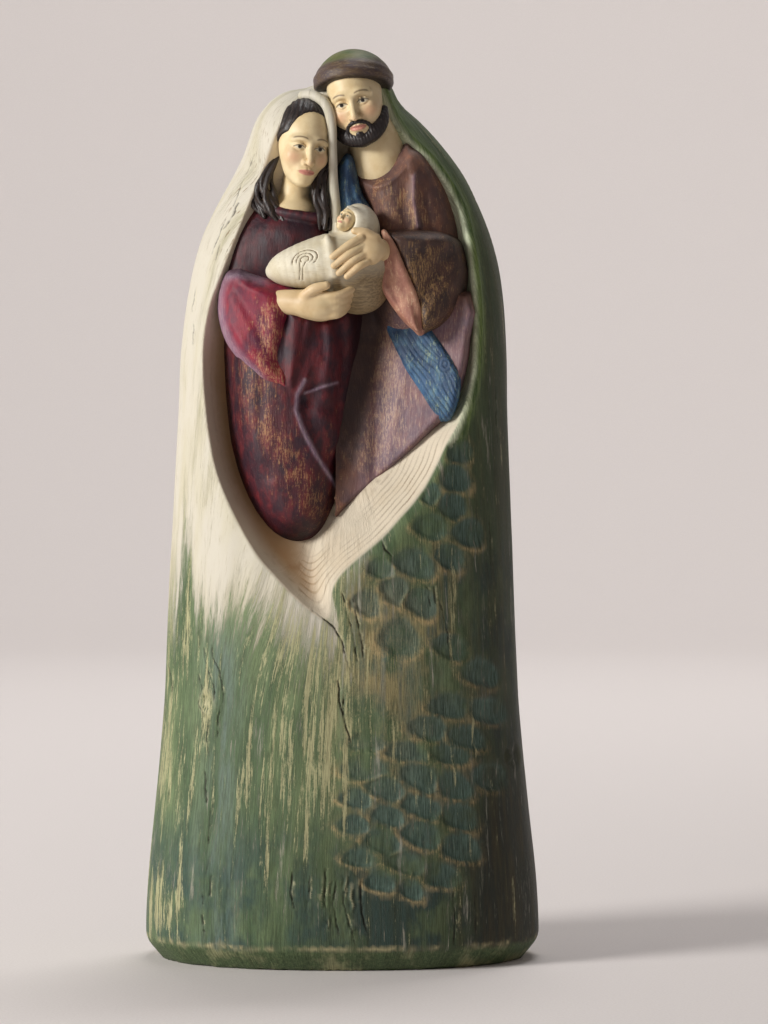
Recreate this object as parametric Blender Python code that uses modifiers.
"""Holy family statue: one cast figurine in the form of a hollowed log that is also the figures' mantle.

The log's left edge rises into the mother's veil and its right edge into the father's head cloth.
The two figures stand in the almond-shaped hollow and hold the swaddled child between them.
Metres, +Z up, the front faces -Y, and the origin is the middle of the underside.
"""

import math

import bmesh
import bpy
from mathutils import Matrix, Vector

STATUE_HEIGHT = 0.280
BASE_WIDTH = 0.119
BASE_DEPTH = 0.076
BASE_CHAMFER_HEIGHT = 0.006
BASE_CHAMFER_INSET = 0.005
UNDERSIDE_SPARE = 0.004

# The carving below is drawn on a grid as wide, deep and tall as this, so that it follows the three sizes above.
GRID = Vector((119.0, 76.0, 280.0))
GRID_SCALE = Vector((BASE_WIDTH / GRID.x, BASE_DEPTH / GRID.y, STATUE_HEIGHT / GRID.z))
MEAN_SCALE = (GRID_SCALE.x * GRID_SCALE.y * GRID_SCALE.z) ** (1 / 3)

LOG_ROUNDNESS = 2.2
LOG_SIDES = 72
LOG_RINGS = 60

HOLLOW_CENTRE = (-1.5, 185.0)
HOLLOW_FLOOR_Y = -3.0
HOLLOW_STEEPNESS = 4.5
HOLLOW_RINGS = 14
HOLLOW_FRONT_Y = -60.0

VOXEL = 0.0009
SOFTENING_STEPS = 2
SOLID_TRIANGLES = 9400

# Height, left edge, right edge, front and back of the log, from the foot up.
LOG_STATIONS = (
    (0.0, -59.5, 59.5, -38.0, 38.0),
    (20.0, -59.5, 59.3, -38.0, 38.0),
    (50.0, -57.0, 56.5, -37.0, 37.0),
    (80.0, -54.2, 53.6, -36.0, 36.0),
    (110.0, -53.0, 52.2, -35.0, 35.5),
    (140.0, -51.6, 51.3, -33.5, 35.0),
    (170.0, -50.0, 50.2, -31.5, 34.0),
    (190.0, -49.0, 49.8, -29.5, 33.0),
    (210.0, -46.0, 48.0, -27.0, 31.0),
    (222.0, -43.0, 45.3, -25.0, 29.0),
    (232.0, -38.5, 41.5, -22.8, 27.0),
    (242.0, -33.0, 36.5, -20.3, 24.5),
    (252.0, -28.0, 29.0, -17.5, 21.0),
    (260.0, -23.0, 21.5, -14.0, 17.0),
    (266.0, -14.0, 15.0, -9.0, 12.0),
)

# The rim of the hollow seen from the front, from its foot up the left side and down the right side.
HOLLOW_RIM = (
    (-1.0, 104.0),
    (-6.0, 106.5),
    (-13.0, 112.5),
    (-20.0, 119.0),
    (-29.0, 128.5),
    (-35.0, 138.5),
    (-38.7, 148.5),
    (-41.5, 160.0),
    (-43.0, 172.0),
    (-43.2, 183.0),
    (-42.3, 192.0),
    (-40.5, 201.0),
    (-37.5, 209.5),
    (-34.0, 218.0),
    (-30.5, 227.0),
    (-26.5, 237.0),
    (-23.0, 247.0),
    (-20.3, 255.0),
    (-16.5, 261.0),
    (-11.0, 264.5),
    (-5.0, 266.0),
    (2.0, 269.5),
    (8.5, 270.5),
    (12.0, 266.0),
    (16.0, 258.0),
    (21.0, 252.0),
    (26.0, 246.5),
    (31.0, 240.0),
    (35.0, 232.5),
    (37.8, 224.0),
    (39.5, 214.0),
    (40.3, 204.0),
    (40.5, 193.0),
    (39.8, 181.0),
    (37.5, 170.5),
    (34.2, 162.0),
    (31.0, 153.5),
    (26.5, 145.5),
    (20.0, 137.5),
    (12.0, 129.5),
    (5.0, 122.0),
    (0.5, 114.0),
)


def at(x, y, z):
    """A point of the drawing grid as a place in the model."""
    return Vector((x * GRID_SCALE.x, y * GRID_SCALE.y, z * GRID_SCALE.z))


def clear_scene():
    for old in list(bpy.data.objects):
        bpy.data.objects.remove(old)


def collection(name):
    made = bpy.data.collections.new(name)
    bpy.context.scene.collection.children.link(made)
    return made


def paint(name, colour, roughness):
    """A matt painted finish on cast resin."""
    made = bpy.data.materials.new(name)
    made.use_nodes = True
    shader = made.node_tree.nodes["Principled BSDF"]
    shader.inputs["Base Color"].default_value = (*colour, 1.0)
    shader.inputs["Roughness"].default_value = roughness
    shader.inputs["Metallic"].default_value = 0.0
    return made


def object_from(name, mesh_data, into):
    """A new object that holds what was built in a bmesh."""
    mesh = bpy.data.meshes.new(name)
    mesh_data.to_mesh(mesh)
    mesh_data.free()
    made = bpy.data.objects.new(name, mesh)
    into.objects.link(made)
    return made


def spline(rows, place):
    """The values of a table at a place in its first column, on a smooth curve through its rows."""
    last = len(rows) - 2
    step = next((i for i in range(last) if place <= rows[i + 1][0]), last)
    low, high = rows[step], rows[step + 1]
    before, after = rows[max(step - 1, 0)], rows[min(step + 2, len(rows) - 1)]
    span = high[0] - low[0]
    t = (place - low[0]) / span
    values = []
    for column in range(1, len(low)):
        slope_low = (high[column] - before[column]) / (high[0] - before[0]) * span
        slope_high = (after[column] - low[column]) / (after[0] - low[0]) * span
        values.append(
            low[column] * (2 * t**3 - 3 * t**2 + 1)
            + slope_low * (t**3 - 2 * t**2 + t)
            + high[column] * (3 * t**2 - 2 * t**3)
            + slope_high * (t**3 - t**2)
        )
    return values


def log_front_y(x, z):
    """How far forward the log's surface lies at a place of the front view."""
    left, right, front, back = spline(LOG_STATIONS, z)
    across = (x - (left + right) / 2) / ((right - left) / 2)
    share = max(0.0, 1 - abs(across) ** LOG_ROUNDNESS) ** (1 / LOG_ROUNDNESS)
    middle = (front + back) / 2
    return middle - share * (back - front) / 2


def log_ring(z, height, inset):
    """The corners of one section of the log at a height in the model, drawn in by an inset."""
    left, right, front, back = spline(LOG_STATIONS, z)
    middle_x, middle_y = (left + right) / 2, (front + back) / 2
    half_x, half_y = (right - left) / 2, (back - front) / 2
    ring = []
    for side in range(LOG_SIDES):
        angle = 2 * math.pi * side / LOG_SIDES
        c, s = math.cos(angle), math.sin(angle)
        power = 2 / LOG_ROUNDNESS
        x = math.copysign(abs(c) ** power, c)
        y = math.copysign(abs(s) ** power, s)
        place = at(middle_x + half_x * x, middle_y + half_y * y, 0.0)
        place -= Vector((x, y, 0.0)) * inset
        place.z = height
        ring.append(place)
    return ring


def closed_loft(rings):
    """A closed surface through rings of equally many corners, with both ends filled."""
    shape = bmesh.new()
    loops = [[shape.verts.new(place) for place in ring] for ring in rings]
    for low, high in zip(loops, loops[1:]):
        for side in range(len(low)):
            following = (side + 1) % len(low)
            shape.faces.new((low[side], low[following], high[following], high[side]))
    shape.faces.new(list(reversed(loops[0])))
    shape.faces.new(loops[-1])
    bmesh.ops.recalc_face_normals(shape, faces=shape.faces)
    return shape


def log_body(into):
    """The log with its chamfered foot, running a little below the underside that is cut flat at the end."""
    top = LOG_STATIONS[-1][0]
    rings = [
        log_ring(0.0, -UNDERSIDE_SPARE, BASE_CHAMFER_INSET),
        log_ring(0.0, 0.0, BASE_CHAMFER_INSET),
        log_ring(0.0, BASE_CHAMFER_HEIGHT * 0.5, BASE_CHAMFER_INSET * 0.35),
    ]
    first = BASE_CHAMFER_HEIGHT / GRID_SCALE.z
    for step in range(LOG_RINGS + 1):
        z = first + (top - first) * step / LOG_RINGS
        rings.append(log_ring(z, z * GRID_SCALE.z, 0.0))
    return object_from("log", closed_loft(rings), into)


def hollow(into):
    """The cutter of the almond-shaped hollow: a bowl below the rim and a straight way out in front of it."""
    centre_x, centre_z = HOLLOW_CENTRE
    rings = [[at(x, HOLLOW_FRONT_Y, z) for x, z in HOLLOW_RIM]]
    for step in range(HOLLOW_RINGS):
        share = math.sqrt(1 - step / HOLLOW_RINGS)
        depth_share = share**HOLLOW_STEEPNESS
        ring = []
        for x, z in HOLLOW_RIM:
            y = HOLLOW_FLOOR_Y + (log_front_y(x, z) - HOLLOW_FLOOR_Y) * depth_share
            ring.append(at(centre_x + (x - centre_x) * share, y, centre_z + (z - centre_z) * share))
        rings.append(ring)
    cutter = object_from("hollow", closed_loft(rings), into)
    cutter.hide_render = True
    cutter.display_type = "WIRE"
    return cutter


def ball(centre, radii, tilt=0.0):
    """An ellipsoid, tilted in the front view by an angle in degrees that carries its top to the left."""
    shape = bmesh.new()
    bmesh.ops.create_uvsphere(shape, u_segments=32, v_segments=20, radius=1.0)
    size = Matrix.Diagonal((*radii, 1.0))
    turn = Matrix.Rotation(math.radians(-tilt), 4, "Y")
    grid = Matrix.Diagonal((*GRID_SCALE, 1.0))
    shape.transform(grid @ Matrix.Translation(centre) @ turn @ size)
    return [shape]


def limb(*knots):
    """A round form through knots of (x, y, z, radius), such as an arm, a finger or a lock of hair."""
    shapes = []
    places = [at(*knot[:3]) for knot in knots]
    radii = [knot[3] * MEAN_SCALE for knot in knots]
    for place, radius in zip(places, radii):
        shape = bmesh.new()
        bmesh.ops.create_uvsphere(shape, u_segments=24, v_segments=14, radius=radius)
        shape.transform(Matrix.Translation(place))
        shapes.append(shape)
    for i in range(len(places) - 1):
        run = places[i + 1] - places[i]
        shape = bmesh.new()
        bmesh.ops.create_cone(
            shape, cap_ends=True, segments=24, radius1=radii[i], radius2=radii[i + 1], depth=run.length
        )
        turn = run.to_track_quat("Z", "Y").to_matrix().to_4x4()
        shape.transform(Matrix.Translation((places[i] + places[i + 1]) / 2) @ turn)
        shapes.append(shape)
    return shapes


def veil_dome():
    """The top of the log's left side, which is the veil over the mother's head."""
    return ball((-13.8, -2.5, 252.3), (13.0, 15.5, 15.2))


def head_cloth_dome():
    """The top of the log's right side, which is the father's cap."""
    return ball((3.2, -3.5, 268.8), (12.2, 13.5, 11.3))


def cap_brim():
    return limb(
        (-7.6, -7.0, 266.8, 2.4),
        (-5.2, -13.5, 268.3, 2.6),
        (0.5, -17.5, 271.0, 2.8),
        (7.0, -17.0, 272.3, 2.8),
        (11.8, -12.5, 271.6, 2.8),
        (13.2, -5.0, 270.6, 2.6),
    )


def veil_fall():
    """The veil's far edge, which hangs between the two heads."""
    return limb(
        (-10.5, -12.0, 264.6, 2.6),
        (-5.6, -13.5, 260.5, 2.4),
        (-3.9, -14.5, 252.0, 2.0),
        (-3.2, -14.0, 242.0, 2.2),
        (-2.5, -14.0, 232.0, 2.4),
        (-3.5, -15.0, 225.0, 2.2),
    )


def mother_head():
    face = ball((-12.3, -12.8, 250.8), (7.3, 9.2, 12.0), tilt=-6)
    nose = limb((-11.6, -20.6, 252.5, 0.9), (-12.0, -22.4, 248.4, 1.3))
    chin = ball((-13.0, -17.6, 241.6), (3.0, 3.0, 2.4))
    hair = ball((-12.0, -9.8, 253.0), (8.3, 10.4, 11.3), tilt=-6)
    neck = limb((-13.6, -9.0, 243.0, 4.6), (-15.0, -8.5, 231.0, 5.2))
    return face + nose + chin + hair + neck


def mother_locks():
    left = limb(
        (-19.6, -12.5, 255.0, 1.8),
        (-21.6, -12.0, 247.0, 2.2),
        (-23.6, -12.5, 238.5, 2.8),
        (-22.0, -14.0, 231.5, 2.4),
    )
    right = limb(
        (-5.0, -14.5, 253.0, 1.6),
        (-5.8, -15.0, 245.0, 2.0),
        (-7.2, -16.0, 236.5, 3.0),
        (-6.0, -17.0, 229.0, 2.9),
    )
    return left + right


def mother_robe():
    chest = ball((-17.0, -6.0, 221.0), (17.0, 13.5, 15.0))
    skirt = limb(
        (-16.0, -5.0, 206.0, 17.0),
        (-16.5, -5.5, 186.0, 18.5),
        (-15.8, -6.0, 166.0, 17.2),
        (-13.8, -8.0, 142.3, 14.4),
    )
    knee_fold = limb(
        (-11.0, -21.5, 180.0, 2.4),
        (-13.2, -23.0, 172.0, 2.6),
        (-9.8, -22.0, 161.0, 2.4),
        (-4.0, -18.5, 150.0, 2.2),
    )
    side_folds = [
        limb((-29.0, -16.0, 178.0, 2.2), (-27.5, -17.5, 160.0, 2.6), (-22.0, -18.0, 141.0, 2.6)),
        limb((-22.0, -21.5, 176.0, 2.2), (-20.5, -21.8, 158.0, 2.6), (-16.0, -20.5, 138.0, 2.6)),
        limb((-5.0, -21.5, 194.0, 2.2), (-2.0, -20.5, 182.0, 2.4), (-1.5, -18.0, 168.0, 2.2)),
        limb((4.0, -16.5, 203.0, 2.4), (2.0, -16.5, 188.0, 2.6), (0.5, -14.0, 170.0, 2.2)),
    ]
    return chest + skirt + knee_fold + sum(side_folds, [])


def mother_sleeve():
    arm = limb(
        (-24.0, -7.0, 228.0, 6.6),
        (-28.0, -9.5, 215.0, 8.0),
        (-28.3, -13.5, 203.0, 9.2),
        (-25.0, -16.5, 193.0, 8.4),
        (-19.5, -18.5, 184.5, 4.6),
        (-16.4, -19.5, 179.8, 2.0),
    )
    cuff = limb((-27.0, -15.0, 203.0, 7.5), (-18.5, -20.0, 203.0, 6.0))
    cuff_edge = limb((-16.2, -22.0, 205.5, 3.0), (-17.0, -21.5, 194.0, 2.8), (-16.4, -20.0, 181.0, 1.8))
    far_cuff = limb((-11.5, -16.5, 195.5, 4.8), (-12.6, -17.0, 186.0, 3.8), (-13.6, -17.5, 180.5, 2.4))
    elbow = ball((-25.0, -14.5, 200.5), (10.5, 9.5, 9.5))
    elbow_folds = [
        limb((-35.0, -15.0, 206.0, 1.6), (-30.0, -21.5, 197.0, 2.0), (-22.0, -22.5, 187.0, 1.8)),
        limb((-31.0, -18.5, 210.0, 1.6), (-24.0, -23.0, 203.0, 2.0), (-18.5, -23.0, 192.0, 1.8)),
    ]
    return arm + cuff + cuff_edge + far_cuff + elbow + sum(elbow_folds, [])


def mother_hand():
    wrist = limb((-16.0, -22.0, 203.5, 4.2), (-9.0, -25.0, 203.0, 4.6))
    palm = ball((-4.8, -25.5, 203.0), (8.4, 4.6, 5.0), tilt=-4)
    thumb = limb((-9.5, -28.5, 205.5, 1.8), (-3.5, -29.5, 209.0, 1.4))
    return wrist + palm + thumb


def child():
    bundle = limb(
        (-18.0, -20.5, 213.2, 5.4),
        (-10.5, -22.0, 214.6, 7.8),
        (0.0, -22.5, 214.6, 9.2),
        (6.5, -21.5, 213.0, 9.2),
    )
    hood = ball((6.0, -21.5, 225.3), (6.0, 6.2, 7.2))
    face = ball((2.0, -25.0, 227.6), (3.0, 3.2, 3.8), tilt=20)
    return bundle + hood + face


def father_head():
    face = ball((4.4, -11.8, 261.0), (8.6, 10.0, 12.0), tilt=14)
    nose = limb((3.4, -20.8, 263.5, 1.0), (4.4, -22.6, 259.5, 1.4))
    beard = ball((6.2, -14.6, 254.3), (8.0, 6.6, 5.6), tilt=16)
    neck = limb((7.0, -8.0, 256.0, 6.0), (10.0, -7.0, 243.5, 6.6))
    return face + nose + beard + neck


def father_robe():
    chest = ball((19.5, -4.5, 233.0), (16.5, 13.0, 18.5))
    hips = ball((21.5, -3.5, 196.0), (15.5, 13.0, 24.0))
    skirt = ball((8.0, -3.5, 171.0), (15.5, 13.0, 34.0), tilt=-43)
    collar = limb((5.0, -16.0, 241.5, 1.7), (10.5, -17.5, 242.0, 1.8), (15.5, -16.5, 245.5, 1.8), (19.0, -12.0, 251.0, 1.7))
    folds = [
        limb((21.8, -16.0, 240.5, 1.8), (22.2, -17.4, 233.0, 2.0), (23.4, -17.0, 225.5, 1.8)),
        limb((13.5, -14.0, 196.0, 2.2), (8.5, -16.0, 176.0, 2.6), (4.5, -14.5, 152.0, 2.2)),
        limb((20.5, -15.5, 186.0, 2.2), (15.0, -16.8, 172.0, 2.6), (9.0, -14.0, 152.0, 2.2)),
        limb((26.0, -14.0, 176.0, 2.0), (20.5, -15.0, 165.0, 2.2), (16.0, -12.5, 156.0, 2.0)),
    ]
    return chest + hips + skirt + collar + sum(folds, [])


def father_sleeve():
    arm = limb(
        (24.5, -6.0, 241.0, 7.4),
        (28.8, -8.0, 231.0, 8.3),
        (30.0, -11.0, 217.0, 8.2),
        (28.0, -14.0, 206.0, 8.0),
        (23.8, -17.5, 198.5, 3.8),
    )
    forearm = limb((28.0, -15.0, 214.5, 9.0), (20.0, -19.5, 216.0, 7.6), (15.5, -22.5, 217.5, 6.0))
    cuff_edge = limb((13.0, -24.5, 221.0, 2.6), (16.8, -23.0, 209.5, 2.8), (21.8, -20.0, 198.0, 2.6))
    elbow = ball((27.0, -13.0, 209.5), (9.5, 9.0, 9.5))
    elbow_folds = [
        limb((36.5, -12.5, 214.0, 1.6), (31.0, -20.5, 209.0, 2.0), (25.0, -22.0, 201.0, 1.8)),
        limb((33.5, -17.5, 221.0, 1.6), (27.0, -22.5, 216.0, 2.0), (21.0, -23.0, 209.0, 1.8)),
    ]
    return arm + forearm + cuff_edge + elbow + sum(elbow_folds, [])


def father_hand():
    wrist = limb((15.5, -23.5, 216.5, 4.4), (10.0, -27.0, 217.0, 4.4))
    back_of_hand = ball((8.2, -29.0, 217.6), (5.8, 3.2, 5.4))
    fingers = [
        limb((6.2, -31.2, 220.3, 1.5), (-1.8, -31.2, 217.2, 1.3)),
        limb((5.4, -31.6, 217.9, 1.5), (-2.6, -31.4, 213.9, 1.3)),
        limb((5.6, -31.3, 215.4, 1.5), (-0.8, -31.2, 211.3, 1.3)),
        limb((7.0, -30.6, 213.4, 1.4), (2.4, -30.6, 209.8, 1.2)),
    ]
    thumb = limb((9.0, -29.5, 221.8, 1.8), (1.6, -30.6, 222.6, 1.4))
    return wrist + back_of_hand + sum(fingers, []) + thumb


def sash():
    """The blue shawl: its end over the far shoulder, and the run from the arm down to the hem."""
    shoulder_end = limb((1.2, -11.0, 243.8, 3.0), (2.2, -12.5, 237.5, 3.5), (4.2, -13.5, 229.0, 4.0))
    run = limb((13.0, -11.5, 205.0, 4.6), (19.0, -12.5, 194.0, 5.6), (26.5, -11.5, 183.5, 7.4), (30.3, -9.5, 174.5, 5.6))
    return shoulder_end + run


def apply_modifiers(thing):
    """Replaces an object's mesh by what its modifiers make of it."""
    evaluated = thing.evaluated_get(bpy.context.evaluated_depsgraph_get())
    made = bpy.data.meshes.new_from_object(evaluated)
    thing.modifiers.clear()
    thing.data = made


def add_shapes(thing, shapes):
    """Adds loose closed shapes to an object's mesh."""
    whole = bmesh.new()
    whole.from_mesh(thing.data)
    for shape in shapes:
        loose = bpy.data.meshes.new("loose_shape")
        shape.to_mesh(loose)
        shape.free()
        whole.from_mesh(loose)
        bpy.data.meshes.remove(loose)
    whole.to_mesh(thing.data)
    whole.free()


def fuse(thing):
    """Makes one skin over all that an object's mesh holds."""
    skin = thing.modifiers.new("one_skin", "REMESH")
    skin.mode = "VOXEL"
    skin.voxel_size = VOXEL


def cut(thing, cutter):
    boolean = thing.modifiers.new(cutter.name, "BOOLEAN")
    boolean.operation = "DIFFERENCE"
    boolean.object = cutter


def underside_cutter(into):
    """What is taken off below the ground plane, so that the statue stands on a flat face."""
    shape = bmesh.new()
    bmesh.ops.create_cube(shape, size=1.0)
    reach = 2 * BASE_WIDTH
    size = Matrix.Diagonal((reach, reach, reach, 1.0))
    shape.transform(Matrix.Translation((0.0, 0.0, -reach / 2)) @ size)
    cutter = object_from("below_ground", shape, into)
    cutter.hide_render = True
    cutter.display_type = "WIRE"
    return cutter


def statue(into, cutters):
    """The whole casting as one solid."""
    thing = log_body(into)
    thing.name = "holy_family_statue"
    add_shapes(thing, veil_dome() + head_cloth_dome())
    fuse(thing)
    apply_modifiers(thing)
    cut(thing, hollow(cutters))
    apply_modifiers(thing)
    figures = (
        cap_brim()
        + veil_fall()
        + mother_head()
        + mother_locks()
        + mother_robe()
        + mother_sleeve()
        + mother_hand()
        + child()
        + father_head()
        + father_robe()
        + father_sleeve()
        + father_hand()
        + sash()
    )
    add_shapes(thing, figures)
    fuse(thing)
    soften = thing.modifiers.new("soften", "SMOOTH")
    soften.factor = 0.5
    soften.iterations = SOFTENING_STEPS
    apply_modifiers(thing)
    triangles = sum(len(face.vertices) - 2 for face in thing.data.polygons)
    thin_out = thing.modifiers.new("fewer_faces", "DECIMATE")
    thin_out.ratio = SOLID_TRIANGLES / triangles
    cut(thing, underside_cutter(cutters))
    return thing


def main():
    clear_scene()
    parts = collection("holy_family_statue")
    cutters = collection("cutters")
    thing = statue(parts, cutters)
    thing.data.materials.clear()
    thing.data.materials.append(paint("painted_resin", (0.30, 0.33, 0.24), 0.6))


main()
